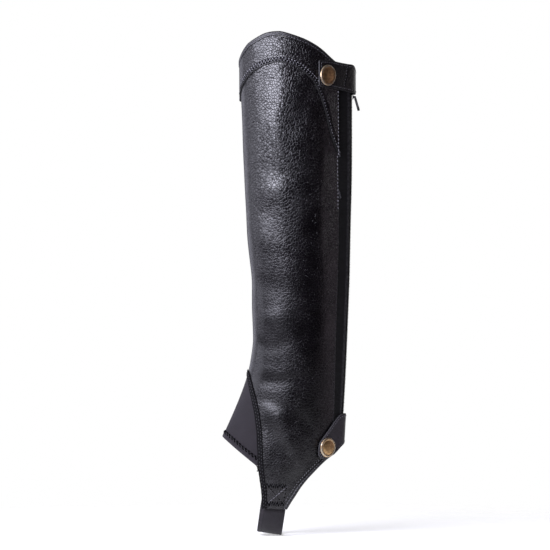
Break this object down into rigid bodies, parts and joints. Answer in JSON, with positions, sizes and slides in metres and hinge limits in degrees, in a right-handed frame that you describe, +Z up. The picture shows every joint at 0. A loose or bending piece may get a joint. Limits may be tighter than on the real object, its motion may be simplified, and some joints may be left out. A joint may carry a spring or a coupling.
{
  "type": "half chap",
  "caption": "Black leather half chap for a left lower leg, filled out, with a yoke, back zip, snap tabs, stretch panels at the zip and instep, and an elastic foot strap.",
  "frame": {"origin": "on the leg's axis at the calf, 159 mm below the highest point of the top edge, where the wearer's leg holds it", "axes": "+Z up the leg, -Y towards the shin and toes, +X towards the outer side of a left leg"},
  "size_m": [0.1004, 0.1367, 0.5034],
  "materials": {
    "leather": "pebbled, soft sheen",
    "binding": "smooth, soft sheen",
    "lining": "matt textile",
    "stretch_cloth": "matt ribbed textile",
    "webbing": "matt woven elastic",
    "zip_coil": "satin nylon coil",
    "zip_metal": "blackened",
    "aged_brass": "aged, satin"
  },
  "bodies": {
    "chap": {"body_leather": "leather", "yoke": "leather", "top_tab": "leather", "bottom_tab": "leather", "top_binding": "binding", "hem_binding_outer": "binding", "hem_binding_inner": "binding", "instep_seam_strip": "binding", "lining": "lining", "stretch_panel": "stretch_cloth", "instep_panel": "stretch_cloth", "instep_hem": "stretch_cloth", "zip_tape_outer": "webbing", "zip_tape_inner": "webbing", "foot_strap": "webbing", "zip_chain": "zip_coil", "zip_slider": "zip_metal", "top_snap": "aged_brass", "bottom_snap": "aged_brass"},
    "pull": {"zip_pull": "zip_metal"}
  },
  "joints": [
    {"name": "pull_hinge", "type": "hinge", "parent": "chap", "child": "pull", "pos_m": [-0.00144, 0.05891, 0.0927], "axis": [1, -0.0018, 0], "range_deg": [0, 90]}
  ]
}
